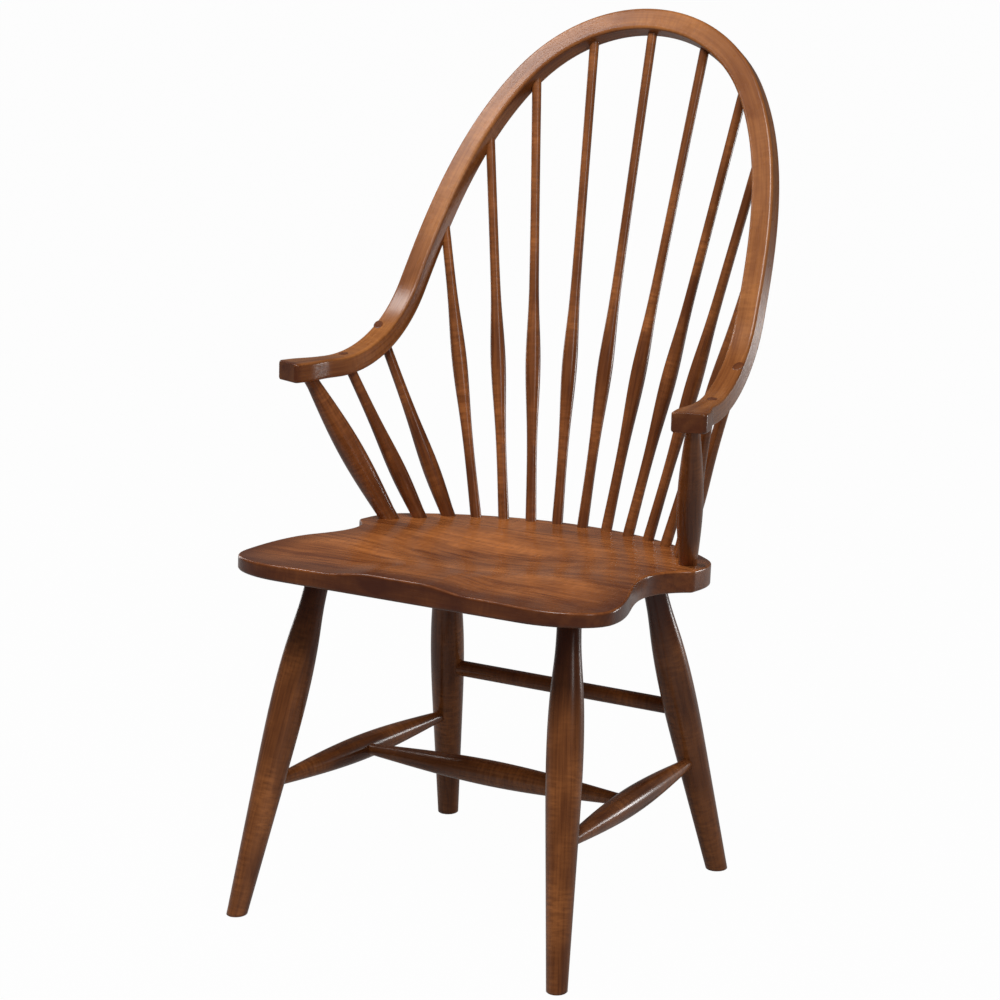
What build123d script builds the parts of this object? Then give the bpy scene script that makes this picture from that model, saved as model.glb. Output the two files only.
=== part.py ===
from build123d import *
import os
from math import cos, radians, sin, sqrt

os.makedirs("parts", exist_ok=True)

# A continuous-arm Windsor armchair. Millimetres, +Z up, floor at Z 0, sitter faces -Y.
# Left is -X and right is +X, as seen from the front.

# Seat
seat_height = 450.0          # deck above the floor at the seat's middle
seat_tilt = 4.6              # degrees that the deck falls towards the back
seat_thickness = 28.0
seat_ahead = 93.6            # seat's middle ahead of the whole chair's middle
seat_front = 217.0           # front edge ahead of the seat's middle
seat_rear = 247.0            # rear edge behind the seat's middle
front_flat = 170.0           # half length of the straight front edge
wing_half_width = 263.0
wing_ahead = 152.0           # widest place of the front wings, ahead of the middle
waist_half_width = 218.0
waist_behind = 15.0
block_half_width = 247.0     # rear block that carries the spindles
block_start = 76.0
block_end = 98.0
block_corner_radius = 10.0
rear_radius = 325.0
rear_half_arc = 228.0        # half width of the rear arc
edge_radius = 3.0            # rounding of the seat's rims
dish_depth = 13.0            # hollow of the seat's middle
dish_half_width = 200.0
dish_half_length = 165.0
thigh_depth = 7.0            # hollows of the front edge beside the pommel
pommel_half_width = 35.0
thigh_middle = 105.0
wing_drop = 3.0              # further fall of the wing tips
thigh_start = 50.0           # hollows begin this far ahead of the middle
thigh_end = 170.0            # and are full this far ahead
hollow_grid = 17             # points each way on the seat's top surface

# Legs
front_foot_spread = 232.9    # half distance between the front feet
front_foot_ahead = 228.1
rear_foot_spread = 207.8
rear_foot_behind = 228.1
front_leg_inset = 179.0      # half distance between the front legs at the seat
front_leg_ahead = 107.6
rear_leg_inset = 152.7
rear_leg_behind = 144.0
leg_top_radius = 14.7        # radii of the leg's turning, then distances down it from the seat
leg_neck_radius = 15.8
leg_neck_drop = 50.0
leg_shoulder_radius = 19.0
leg_shoulder_drop = 86.0
leg_belly_radius = 22.0
leg_belly_drop = 142.0
leg_calf_radius = 19.7
leg_calf_drop = 268.0
leg_foot_radius = 12.9
leg_foot_drop = 448.0
leg_tenon = 15.0
leg_blank = 475.0            # turned length below the seat, sawn off level at the floor

# Stretchers
side_stretcher_front_height = 162.5
side_stretcher_rear_height = 154.0
rear_stretcher_height = 227.0
side_stretcher_end_radius = 7.6
side_stretcher_belly_radius = 16.5
cross_stretcher_end_radius = 7.5
cross_stretcher_belly_radius = 16.6
rear_stretcher_radius = 10.4
tenon_past_axis = 3.0        # stretcher tenons end this far past the axis that they meet
leg_land = 25.0              # stretchers run straight this far from a leg's axis
cross_land = 20.0            # and the cross stretcher from a side stretcher's axis

# Bow: the bent rail that is both the back's arch and the arms
bow_top = 1092.0             # top of the arch above the floor
bow_width = 29.0
bow_thickness = 26.0
arm_thickness = 25.0
bow_edge_radius = 3.5
arm_height = 661.0           # arm's top face where its bend begins
arm_tilt = 3.0               # degrees that the arm rises towards the front
arm_length = 76.0            # arm ahead of its bend
bend_behind = 53.0           # bend's beginning behind the seat's middle
bend_radius = 160.0
back_lean = 30.6             # degrees of the arch from upright
crown_radius = 199.0         # arch's round top, on its centreline
crown_half_angle = 55.0
elbow_half_breadth = 271.0   # centreline half breadths, at the bend's beginning,
hip_half_breadth = 251.6     # then at two distances along the rail above it
hip_run = 140.0
shoulder_half_breadth = 237.8
shoulder_run = 272.0
hand_half_breadth = 288.0    # at the end of the arm
hand_width = 43.0
flare_start = 12.0           # hand begins to widen this far ahead of the bend
flare_length = 45.0
hand_round = 6.0             # rounding of the hand's end
hand_turn = 9.0              # degrees that the hand's end faces outwards
bow_step = 22.0              # spacing of the rail's sections

# Spindles and posts
spindle_arc_radius = 305.0   # arc of the spindle feet on the deck
spindle_arc_behind = 232.7   # arc's rearmost point behind the seat's middle
spindle_pitch = 6.95         # degrees between spindle feet
spindle_gaps = (85.6, 92.6, 97.0, 130.0)   # between spindle heads along the bow, from the middle out
spindle_foot_radius = 7.2
spindle_neck_radius = 7.5
spindle_neck_height = 130.0
spindle_belly_radius = 10.0
spindle_belly_height = 212.0
spindle_waist_radius = 7.2
spindle_waist_height = 284.0
spindle_slim_radius = 6.3
spindle_slim_height = 340.0
spindle_head_radius = 6.2
spindle_head_depth = 14.0    # tenon in the bow
deck_tenon = 19.0            # tenons in the deck
arm_spindle_feet = ((195.7, 142.5), (174.3, 179.3))   # half spacing, behind the middle
arm_spindle_heads = ((268.0, 22.0), (263.7, 103.0))    # half breadth, run along the rail
arm_spindle_foot_radius = 9.2
arm_spindle_belly_radius = 11.2
arm_spindle_belly_height = 66.0
arm_spindle_neck_radius = 8.3
arm_spindle_neck_height = 133.0
arm_spindle_head_radius = 6.5
arm_post_foot = (221.2, 108.4)
arm_post_head = (275.9, -39.4)
arm_post_foot_radius = 11.9
arm_post_belly_radius = 16.1
arm_post_belly_height = 112.0
arm_post_head_radius = 9.1
arm_post_tenon = 13.0

# Fit of every glued tenon in its mortise
glue_gap = 0.1
mouth_land = 9.0             # tenons stay straight this far out of a slanting mouth
bore_reach = 75.0            # mortise cutters run this far from the bottom of the mortise

# Cutters and the bow's sections
overlap = 20.0               # cutters stand past what they cut
trim_reach = 300.0           # the through tenons' trimmer runs this far past the bend
hand_steps = 7               # sections of the rail in the flare of the hand
round_shares = (0.4, 0.7, 0.88, 0.96)   # and in the rounding of its end
end_thinning = 0.5           # share of that rounding which also thins the hand

seat_slope = Vector(0, sin(radians(seat_tilt)), cos(radians(seat_tilt)))
seat_plane = Plane(origin=(0, -seat_ahead, seat_height), x_dir=(1, 0, 0), z_dir=seat_slope)


def ramp(value, low, high):
    """Smooth step from 0 at low to 1 at high."""
    share = min(max((value - low) / (high - low), 0.0), 1.0)
    return share * share * (3 - 2 * share)


def seat_drop(x, y):
    """Depth of the seat's top below the deck plane, at a place on the deck."""
    reach = sqrt((x / dish_half_width) ** 2 + (y / dish_half_length) ** 2)
    dish = dish_depth * (1 - ramp(reach, 0, 1))
    thigh = thigh_depth * ramp(abs(x), pommel_half_width, thigh_middle)
    wing = wing_drop * ramp(abs(x), thigh_middle, wing_half_width)
    return dish + (thigh + wing) * ramp(-y, thigh_start, thigh_end)


def on_deck(x, y, height=0.0):
    """A place on the deck, in the whole chair's frame."""
    return seat_plane.from_local_coords((x, y, height))


def between(low, high, height):
    """The point of a line at a height above the floor."""
    share = (height - low.Z) / (high.Z - low.Z)
    return low + (high - low) * share


# Side view of the bow's face: arm, bend and leaning back
bend_angle = radians(90 - back_lean + arm_tilt)
bend_run = bend_radius * bend_angle
bend_start = Vector(0, bend_behind - seat_ahead, arm_height)


def face_angle(run):
    """Upward angle of the bow's face at a distance along it from the bend's beginning."""
    return min(max(run, 0.0), bend_run) / bend_radius - radians(arm_tilt)


def face_point(run):
    """Point of the bow's face in the side view, at a distance along it."""
    first, now = -radians(arm_tilt), face_angle(run)
    straight = min(run, 0.0) + max(run - bend_run, 0.0)
    y = bend_radius * (sin(now) - sin(first)) + straight * cos(now)
    z = bend_radius * (cos(first) - cos(now)) + straight * sin(now)
    return bend_start + Vector(0, y, z)


def face_normal(run):
    """Direction out of the bow's face, towards the sitter."""
    angle = face_angle(run)
    return Vector(0, -sin(angle), cos(angle))


# Centreline of one half of the bow, unrolled: half breadth, then run along the face
crown_top = bend_run + (bow_top - face_point(bend_run).Z) / cos(radians(back_lean)) - bow_width / 2
crown_angle = radians(crown_half_angle)
crown_end = (crown_radius * sin(crown_angle), crown_top - crown_radius * (1 - cos(crown_angle)))
with BuildLine() as half_bow:
    CenterArc((0, crown_top - crown_radius), crown_radius, 90, -crown_half_angle)
    Spline(
        crown_end,
        (shoulder_half_breadth, shoulder_run),
        (hip_half_breadth, hip_run),
        (elbow_half_breadth, 0),
        (hand_half_breadth, -arm_length),
        tangents=[
            (cos(crown_angle), -sin(crown_angle)),
            (hand_half_breadth - elbow_half_breadth, -arm_length),
        ],
    )
rail = half_bow.wire()


def rail_thickness(run):
    """The rail grows thicker through its bend, from the back to the arm."""
    return arm_thickness + (bow_thickness - arm_thickness) * ramp(run, 0, bend_run)


def section_plane(length):
    """Plane across the rail at a length along its unrolled centreline."""
    flat = rail.position_at(length, position_mode=PositionMode.LENGTH)
    way = rail.tangent_at(length, position_mode=PositionMode.LENGTH)
    turn = radians(hand_turn) * ramp(length, rail.length - flare_length, rail.length)
    way = Vector(way.X * cos(turn) - way.Y * sin(turn), way.X * sin(turn) + way.Y * cos(turn))
    angle = face_angle(flat.Y)
    middle = face_point(flat.Y) + Vector(flat.X, 0, 0) - face_normal(flat.Y) * rail_thickness(flat.Y) / 2
    along = Vector(way.X, way.Y * cos(angle), way.Y * sin(angle))
    inward = Vector(way.Y, -way.X * cos(angle), -way.X * sin(angle))
    return Plane(origin=middle, x_dir=inward, z_dir=along)


def section_size(length):
    """Width and thickness of the rail at a length along it, rounded off at the hand's end."""
    flat = rail.position_at(length, position_mode=PositionMode.LENGTH)
    width = bow_width + (hand_width - bow_width) * ramp(-flat.Y, flare_start, flare_start + flare_length)
    past = max(length - (rail.length - hand_round), 0.0)
    trim = hand_round - sqrt(hand_round ** 2 - min(past, hand_round * round_shares[-1]) ** 2)
    return width - 2 * trim, rail_thickness(flat.Y) - trim * end_thinning


def on_rail(breadth, run, depth):
    """A place on the bow's face at a half breadth and a run, sunk to a depth."""
    return face_point(run) + Vector(breadth, 0, 0) - face_normal(run) * depth


def turned(start, end, swells, start_tenon, end_tenon):
    """Turned piece from start to end; swells are (distance along, radius), tenons run on past the ends."""
    along = (end - start).normalized()
    across = Vector(0, 0, 1).cross(along).normalized()
    length = (end - start).length
    stations = [(radius, distance) for distance, radius in swells]
    first, last = stations[0], stations[-1]
    with BuildPart() as piece:
        with BuildSketch(Plane(origin=start, x_dir=across, z_dir=across.cross(along))):
            with BuildLine():
                Spline(*stations)
                Polyline(
                    last,
                    (last[0], length + end_tenon),
                    (0, length + end_tenon),
                    (0, -start_tenon),
                    (first[0], -start_tenon),
                    first,
                )
            make_face()
        revolve(axis=Axis(start, along))
    return piece.part


def bore(tip, mouth, radius, reach):
    """Cut a mortise in the open part, from just past a tenon's tip out beyond its mouth."""
    out = (mouth - tip).normalized()
    with Locations(Plane(origin=tip - out * glue_gap, z_dir=out)):
        Cylinder(
            radius + glue_gap,
            reach + 2 * glue_gap,
            align=(Align.CENTER, Align.CENTER, Align.MIN),
            mode=Mode.SUBTRACT,
        )


def finish(piece, name):
    """Label a piece and write it."""
    piece.label = name
    export_step(piece, "parts/" + name + ".step")


# Lines of the legs, from the floor to the seat's underside
sides = {"left": -1, "right": 1}
leg_lines = {}
for side, sign in sides.items():
    leg_lines["front", side] = (
        Vector(sign * front_foot_spread, -front_foot_ahead - seat_ahead, 0),
        on_deck(sign * front_leg_inset, -front_leg_ahead, -seat_thickness),
    )
    leg_lines["back", side] = (
        Vector(sign * rear_foot_spread, rear_foot_behind - seat_ahead, 0),
        on_deck(sign * rear_leg_inset, rear_leg_behind, -seat_thickness),
    )

# Lines of the stretchers, between the axes of the pieces that hold them
stretcher_lines = {}
for side in sides:
    stretcher_lines[side] = (
        between(*leg_lines["front", side], side_stretcher_front_height),
        between(*leg_lines["back", side], side_stretcher_rear_height),
    )
stretcher_lines["cross"] = tuple((low + high) / 2 for low, high in (stretcher_lines[side] for side in sides))
stretcher_lines["back"] = tuple(between(*leg_lines["back", side], rear_stretcher_height) for side in sides)

# Lines of the spindles, from the deck to the middle of the bow
spindle_lines = {}
spindle_heads = [sum(spindle_gaps[:count]) for count in range(len(spindle_gaps) + 1)]
outermost = len(spindle_gaps)
for number in range(-outermost, outermost + 1):
    sign = -1 if number < 0 else 1
    turn = radians(spindle_pitch * number)
    foot_y = spindle_arc_behind - spindle_arc_radius * (1 - cos(turn))
    head = section_plane(spindle_heads[abs(number)]).origin
    spindle_lines["back_spindle_" + str(number + outermost + 1)] = (
        on_deck(spindle_arc_radius * sin(turn), foot_y),
        Vector(sign * head.X, head.Y, head.Z),
    )

# Lines of the arm spindles, which run through the arm, and of the posts, which stop inside it
arm_spindle_lines = {}
for side, sign in sides.items():
    for place, foot, head in zip(("front", "back"), arm_spindle_feet, arm_spindle_heads):
        arm_spindle_lines["arm_spindle_" + side + "_" + place] = (
            on_deck(sign * foot[0], foot[1]),
            on_rail(sign * head[0], head[1], 0),
        )
post_lines = {}
for side, sign in sides.items():
    foot = on_deck(sign * arm_post_foot[0], arm_post_foot[1])
    under = on_rail(sign * arm_post_head[0], arm_post_head[1], rail_thickness(arm_post_head[1]))
    post_lines["arm_post_" + side] = (foot, under)

# Seat: outline in the deck's plane, top shaped by one hollowed surface, rims rounded
rear_arc_y = seat_rear - rear_radius + sqrt(rear_radius ** 2 - rear_half_arc ** 2)
rear_arc_way = (-sqrt(rear_radius ** 2 - rear_half_arc ** 2), rear_half_arc)
grid_x = [(2 * step / (hollow_grid - 1) - 1) * (wing_half_width + overlap) for step in range(hollow_grid)]
grid_y = [
    -seat_front - overlap + step / (hollow_grid - 1) * (seat_front + seat_rear + 2 * overlap)
    for step in range(hollow_grid)
]
hollow = Face.make_surface_from_array_of_points(
    [[on_deck(x, y, -seat_drop(x, y)) for y in grid_y] for x in grid_x]
)
with BuildPart() as seat:
    with BuildSketch(seat_plane.offset(-seat_thickness)) as outline:
        with BuildLine():
            Line((0, -seat_front), (front_flat, -seat_front))
            EllipticalCenterArc(
                (front_flat, -wing_ahead),
                wing_half_width - front_flat,
                seat_front - wing_ahead,
                start_angle=270,
                arc_size=90,
            )
            Spline(
                (wing_half_width, -wing_ahead),
                (waist_half_width, waist_behind),
                tangents=[(0, 1), (0, 1)],
            )
            TangentArc(
                (waist_half_width, waist_behind),
                (block_half_width, block_start),
                tangent=(0, 1),
            )
            Line((block_half_width, block_start), (block_half_width, block_end))
            Spline(
                (block_half_width, block_end),
                (rear_half_arc, rear_arc_y),
                tangents=[(0, 1), rear_arc_way],
            )
            RadiusArc((rear_half_arc, rear_arc_y), (0, seat_rear), -rear_radius)
            mirror(about=Plane.YZ)
        make_face()
        corners = outline.vertices().filter_by_position(Axis.Y, block_start - 1, block_start + 1)
        fillet(corners, block_corner_radius)
    extrude(amount=seat_thickness + overlap)
    extrude(hollow, amount=4 * overlap, dir=seat_slope, mode=Mode.SUBTRACT)
    up = Axis(seat_plane.origin, seat_slope)
    fillet(seat.faces().sort_by(up)[0].edges(), edge_radius)
    fillet(seat.faces().sort_by(up)[-1].edges(), edge_radius)
    for line in leg_lines.values():
        along = (line[1] - line[0]).normalized()
        bore(line[1] + along * leg_tenon, line[1], leg_top_radius, 2 * leg_tenon)
    for line in spindle_lines.values():
        along = (line[1] - line[0]).normalized()
        bore(line[0] - along * deck_tenon, line[0], spindle_foot_radius, 2 * deck_tenon)
    for line in arm_spindle_lines.values():
        along = (line[1] - line[0]).normalized()
        bore(line[0] - along * deck_tenon, line[0], arm_spindle_foot_radius, 2 * deck_tenon)
    for line in post_lines.values():
        along = (line[1] - line[0]).normalized()
        bore(line[0] - along * deck_tenon, line[0], arm_post_foot_radius, 2 * deck_tenon)
finish(seat.part, "seat")

# Bow: sections along the unrolled centreline, bent with the face, then mirrored
body_steps = round((rail.length - flare_start - flare_length) / bow_step)
body_end = rail.length - flare_start - flare_length
lengths = [body_end * step / body_steps for step in range(body_steps + 1)]
hand_start_round = rail.length - hand_round
lengths += [body_end + (hand_start_round - body_end) * (step + 1) / hand_steps for step in range(hand_steps)]
lengths += [hand_start_round + hand_round * share for share in round_shares]
with BuildPart() as bow:
    for length in lengths:
        with BuildSketch(section_plane(length)):
            RectangleRounded(*section_size(length), bow_edge_radius)
    loft()
    mirror(about=Plane.YZ)
    for line in spindle_lines.values():
        bore(line[1], line[0], spindle_head_radius, bore_reach)
    for line in arm_spindle_lines.values():
        along = (line[1] - line[0]).normalized()
        bore(line[1] + along * arm_thickness, line[0], arm_spindle_head_radius, bore_reach)
    for line in post_lines.values():
        along = (line[1] - line[0]).normalized()
        bore(line[1] + along * arm_post_tenon, line[0], arm_post_head_radius, bore_reach)
finish(bow.part, "bow")

# Legs, sawn level at the floor and bored for the stretchers
for (end, side), (low, high) in leg_lines.items():
    down = (low - high).normalized()
    swells = [
        (mouth_land, leg_top_radius),
        (leg_neck_drop, leg_neck_radius),
        (leg_shoulder_drop, leg_shoulder_radius),
        (leg_belly_drop, leg_belly_radius),
        (leg_calf_drop, leg_calf_radius),
        (leg_foot_drop, leg_foot_radius),
    ]
    with BuildPart() as leg:
        add(turned(high, high + down * leg_foot_drop, swells, leg_tenon, leg_blank - leg_foot_drop))
        split(bisect_by=Plane.XY, keep=Keep.TOP)
        start, stop = stretcher_lines[side]
        inner = stop if end == "front" else start
        here = start if end == "front" else stop
        outward = (here - inner).normalized()
        bore(here + outward * tenon_past_axis, inner, side_stretcher_end_radius, bore_reach)
        if end == "back":
            left, right = stretcher_lines["back"]
            here, inner = (left, right) if side == "left" else (right, left)
            outward = (here - inner).normalized()
            bore(here + outward * tenon_past_axis, inner, rear_stretcher_radius, bore_reach)
    finish(leg.part, "leg_" + end + "_" + side)

# Stretchers: two swelled side rails, a swelled cross rail between them and a plain rear dowel
for side in sides:
    start, stop = stretcher_lines[side]
    length = (stop - start).length
    swells = [
        (leg_land, side_stretcher_end_radius),
        (length / 2, side_stretcher_belly_radius),
        (length - leg_land, side_stretcher_end_radius),
    ]
    with BuildPart() as stretcher:
        add(turned(start, stop, swells, tenon_past_axis, tenon_past_axis))
        left, right = stretcher_lines["cross"]
        here, inner = (left, right) if side == "left" else (right, left)
        outward = (here - inner).normalized()
        bore(here + outward * tenon_past_axis, inner, cross_stretcher_end_radius, bore_reach)
    finish(stretcher.part, "stretcher_" + side)

start, stop = stretcher_lines["cross"]
length = (stop - start).length
swells = [
    (cross_land, cross_stretcher_end_radius),
    (length / 2, cross_stretcher_belly_radius),
    (length - cross_land, cross_stretcher_end_radius),
]
finish(turned(start, stop, swells, tenon_past_axis, tenon_past_axis), "stretcher_cross")

start, stop = stretcher_lines["back"]
length = (stop - start).length
swells = [(0, rear_stretcher_radius), (length, rear_stretcher_radius)]
finish(turned(start, stop, swells, tenon_past_axis, tenon_past_axis), "stretcher_back")

# Back spindles, swelled low down, with a tenon in the deck and one in the bow
for name, (foot, head) in spindle_lines.items():
    along = (head - foot).normalized()
    shaft_end = head - along * spindle_head_depth
    swells = [
        (mouth_land, spindle_foot_radius),
        (spindle_neck_height, spindle_neck_radius),
        (spindle_belly_height, spindle_belly_radius),
        (spindle_waist_height, spindle_waist_radius),
        (spindle_slim_height, spindle_slim_radius),
        ((shaft_end - foot).length - mouth_land, spindle_head_radius),
    ]
    finish(turned(foot, shaft_end, swells, deck_tenon, spindle_head_depth), name)

# Space on the sitter's side of the bow's face, which trims the through tenons flush
front_end, back_end = face_point(-trim_reach), face_point(bend_run + trim_reach)
with BuildPart() as sitter_side:
    with BuildSketch(Plane.YZ):
        with BuildLine():
            bend_middle = face_point(bend_run / 2)
            bend_end = face_point(bend_run)
            Line((front_end.Y, front_end.Z), (bend_start.Y, bend_start.Z))
            ThreePointArc(
                (bend_start.Y, bend_start.Z),
                (bend_middle.Y, bend_middle.Z),
                (bend_end.Y, bend_end.Z),
            )
            Polyline(
                (bend_end.Y, bend_end.Z),
                (back_end.Y, back_end.Z),
                (front_end.Y, back_end.Z),
                (front_end.Y, front_end.Z),
            )
        make_face()
    extrude(amount=hand_half_breadth + hand_width, both=True)

# Arm spindles, whose tenons show on the arm's top face
for name, (foot, head) in arm_spindle_lines.items():
    along = (head - foot).normalized()
    shaft_end = head - along * (arm_thickness + mouth_land)
    swells = [
        (mouth_land, arm_spindle_foot_radius),
        (arm_spindle_belly_height, arm_spindle_belly_radius),
        (arm_spindle_neck_height, arm_spindle_neck_radius),
        ((shaft_end - foot).length, arm_spindle_head_radius),
    ]
    with BuildPart() as arm_spindle:
        add(turned(foot, shaft_end, swells, deck_tenon, 2 * arm_thickness))
        add(sitter_side.part, mode=Mode.SUBTRACT)
    finish(arm_spindle.part, name)

# Arm posts, thick and short, blind in the hands
for name, (foot, under) in post_lines.items():
    swells = [
        (mouth_land, arm_post_foot_radius),
        (arm_post_belly_height, arm_post_belly_radius),
        ((under - foot).length - mouth_land, arm_post_head_radius),
    ]
    finish(turned(foot, under, swells, deck_tenon, arm_post_tenon), name)
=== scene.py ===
import math

import bpy
import numpy as np
from bpy.props import FloatProperty, FloatVectorProperty, PointerProperty
from mathutils import Matrix, Vector
from mathutils.geometry import delaunay_2d_cdt


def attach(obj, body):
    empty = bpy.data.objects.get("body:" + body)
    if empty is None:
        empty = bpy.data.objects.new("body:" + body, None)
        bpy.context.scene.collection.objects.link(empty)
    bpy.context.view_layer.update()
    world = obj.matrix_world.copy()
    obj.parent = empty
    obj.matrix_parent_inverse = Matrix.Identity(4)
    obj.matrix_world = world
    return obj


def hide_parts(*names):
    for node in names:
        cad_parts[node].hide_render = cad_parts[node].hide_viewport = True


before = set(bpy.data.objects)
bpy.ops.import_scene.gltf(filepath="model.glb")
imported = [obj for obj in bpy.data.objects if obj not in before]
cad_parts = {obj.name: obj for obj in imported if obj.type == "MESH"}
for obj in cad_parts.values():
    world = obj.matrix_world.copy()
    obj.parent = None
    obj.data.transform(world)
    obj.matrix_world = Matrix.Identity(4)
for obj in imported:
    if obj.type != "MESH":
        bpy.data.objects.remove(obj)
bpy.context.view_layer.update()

bl_info = {
    "name": "Windsor armchair",
    "version": (1, 0, 0),
    "blender": (4, 5, 0),
    "location": "View3D > Sidebar > Windsor",
    "description": "Continuous-arm Windsor armchair in stained and lacquered wood",
    "category": "Add Mesh",
}

SIDES = {"left": -1, "right": 1}


def length(name, default, text):
    """A length in metres that a user may change."""
    return FloatProperty(name=name, description=text, default=default, precision=4, unit="LENGTH")


def angle(name, degrees, text):
    """An angle that a user may change, given in degrees."""
    return FloatProperty(name=name, description=text, default=math.radians(degrees), subtype="ANGLE")


def share(name, default, text):
    """A share from nothing to all."""
    return FloatProperty(name=name, description=text, default=default, min=0, max=1, subtype="FACTOR")


def power(name, default, text):
    """A lamp's power in watts."""
    return FloatProperty(name=name, description=text, default=default, min=0, unit="POWER")


def colour(name, default, text):
    """A linear colour that a user may change."""
    return FloatVectorProperty(
        name=name, description=text, default=default, size=3, min=0, max=1, subtype="COLOR"
    )


class SeatSizes(bpy.types.PropertyGroup):
    """Sizes of the hollowed plank seat."""

    height: length("Height", 0.450, "Deck above the floor at the seat's middle")
    tilt: angle("Tilt", 4.6, "Fall of the deck towards the back")
    thickness: length("Thickness", 0.028, "Thickness of the plank")
    ahead: length("Ahead", 0.0936, "Seat's middle ahead of the chair's middle")
    front: length("Front", 0.217, "Front edge ahead of the seat's middle")
    rear: length("Rear", 0.247, "Rear edge behind the seat's middle")
    front_flat: length("Front flat", 0.170, "Half length of the straight front edge")
    wing_half_width: length("Wing half width", 0.263, "Half width over the front wings")
    wing_ahead: length("Wing ahead", 0.152, "Widest place of the wings ahead of the middle")
    waist_half_width: length("Waist half width", 0.218, "Half width at the waist")
    waist_behind: length("Waist behind", 0.015, "Waist behind the middle")
    block_half_width: length("Block half width", 0.247, "Half width of the rear block")
    block_start: length("Block start", 0.076, "Front corner of the rear block behind the middle")
    block_end: length("Block end", 0.098, "End of the block's straight side behind the middle")
    rear_radius: length("Rear radius", 0.325, "Radius of the rear edge")
    rear_half_arc: length("Rear half arc", 0.228, "Half width of the rear arc")
    rim: length("Rim", 0.003, "Rounding of the rims")
    dish_depth: length("Dish depth", 0.013, "Depth of the middle hollow")
    thigh_depth: length("Thigh depth", 0.007, "Depth of the hollows beside the pommel")
    wing_drop: length("Wing drop", 0.003, "Further fall of the wing tips")


class BowSizes(bpy.types.PropertyGroup):
    """Sizes of the bent rail that is the back's arch and both arms."""

    top: length("Top", 1.092, "Top of the arch above the floor")
    width: length("Width", 0.029, "Width of the rail's face")
    thickness: length("Thickness", 0.026, "Thickness of the rail in the back")
    arm_thickness: length("Arm thickness", 0.025, "Thickness of the rail in the arms")
    edge: length("Edge", 0.0035, "Rounding of the rail's edges")
    arm_height: length("Arm height", 0.661, "Arm's top face where its bend begins")
    arm_tilt: angle("Arm tilt", 3.0, "Rise of the arm towards the front")
    arm_length: length("Arm length", 0.076, "Arm ahead of its bend")
    bend_behind: length("Bend behind", 0.053, "Bend's beginning behind the seat's middle")
    bend_radius: length("Bend radius", 0.160, "Radius of the bend from arm to back")
    lean: angle("Lean", 30.6, "Lean of the arch from upright")
    crown_radius: length("Crown radius", 0.199, "Radius of the arch's round top")
    crown_angle: angle("Crown angle", 55.0, "Half angle of the arch's round top")
    elbow: length("Elbow", 0.271, "Half breadth at the bend's beginning")
    hip: length("Hip", 0.2516, "Half breadth low in the back")
    hip_run: length("Hip run", 0.140, "Distance of the hip along the rail")
    shoulder: length("Shoulder", 0.2378, "Half breadth high in the back")
    shoulder_run: length("Shoulder run", 0.272, "Distance of the shoulder along the rail")
    hand: length("Hand", 0.28795, "Half breadth at the end of the arm")
    hand_width: length("Hand width", 0.043, "Width of the flared hand")
    flare_start: length("Flare start", 0.012, "Start of the flare ahead of the bend")
    flare_length: length("Flare length", 0.045, "Length of the flare")
    hand_round: length("Hand round", 0.006, "Rounding of the hand's end")
    hand_turn: angle("Hand turn", 9.0, "Outward turn of the hand's end")


class TurningSizes(bpy.types.PropertyGroup):
    """Places of the turned legs, stretchers, spindles and posts."""

    front_foot_spread: length("Front foot spread", 0.2329, "Half distance between the front feet")
    front_foot_ahead: length("Front foot ahead", 0.2281, "Front feet ahead of the seat's middle")
    rear_foot_spread: length("Rear foot spread", 0.2078, "Half distance between the rear feet")
    rear_foot_behind: length("Rear foot behind", 0.2281, "Rear feet behind the seat's middle")
    front_leg_inset: length("Front leg inset", 0.179, "Half distance of the front legs at the seat")
    front_leg_ahead: length("Front leg ahead", 0.1076, "Front legs ahead of the middle at the seat")
    rear_leg_inset: length("Rear leg inset", 0.1527, "Half distance of the rear legs at the seat")
    rear_leg_behind: length("Rear leg behind", 0.144, "Rear legs behind the middle at the seat")
    leg_tenon: length("Leg tenon", 0.015, "Tenon of a leg in the seat")
    side_front_height: length("Side front height", 0.1625, "Front ends of the side stretchers")
    side_rear_height: length("Side rear height", 0.154, "Rear ends of the side stretchers")
    rear_height: length("Rear height", 0.227, "Rear stretcher above the floor")
    past_axis: length("Past axis", 0.003, "Stretcher tenons past the axis that they meet")
    arc_radius: length("Arc radius", 0.305, "Radius of the arc of spindle feet")
    arc_behind: length("Arc behind", 0.2327, "Rearmost spindle foot behind the middle")
    pitch: angle("Pitch", 6.95, "Angle between spindle feet on their arc")
    deck_tenon: length("Deck tenon", 0.019, "Tenons in the deck")
    head_depth: length("Head depth", 0.014, "Spindle tenons in the bow")
    post_tenon: length("Post tenon", 0.013, "Post tenons in the hands")
    proud: length("Proud", 0.0003, "Through tenons above the arm's face")


class FinishSettings(bpy.types.PropertyGroup):
    """Colours and gloss of the stained and lacquered wood."""

    bow_light: colour("Bow light", (0.42, 0.158, 0.044), "Lightest stain on the bow")
    bow_dark: colour("Bow dark", (0.19, 0.058, 0.014), "Darkest stain on the bow")
    seat_light: colour("Seat light", (0.55, 0.185, 0.048), "Lightest stain on the seat")
    seat_dark: colour("Seat dark", (0.165, 0.044, 0.011), "Darkest stain on the seat")
    turned_light: colour("Turned light", (0.385, 0.132, 0.037), "Lightest stain on turned pieces")
    turned_dark: colour("Turned dark", (0.115, 0.033, 0.010), "Darkest stain on turned pieces")
    # Toner colour; it also paints shade on the legs just below the seat
    toner_and_shade: colour("Toner And Shade", (0.075, 0.017, 0.006), "Toner sprayed along edges and hollows")
    coat: share("Coat", 0.30, "Weight of the clear lacquer")


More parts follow.
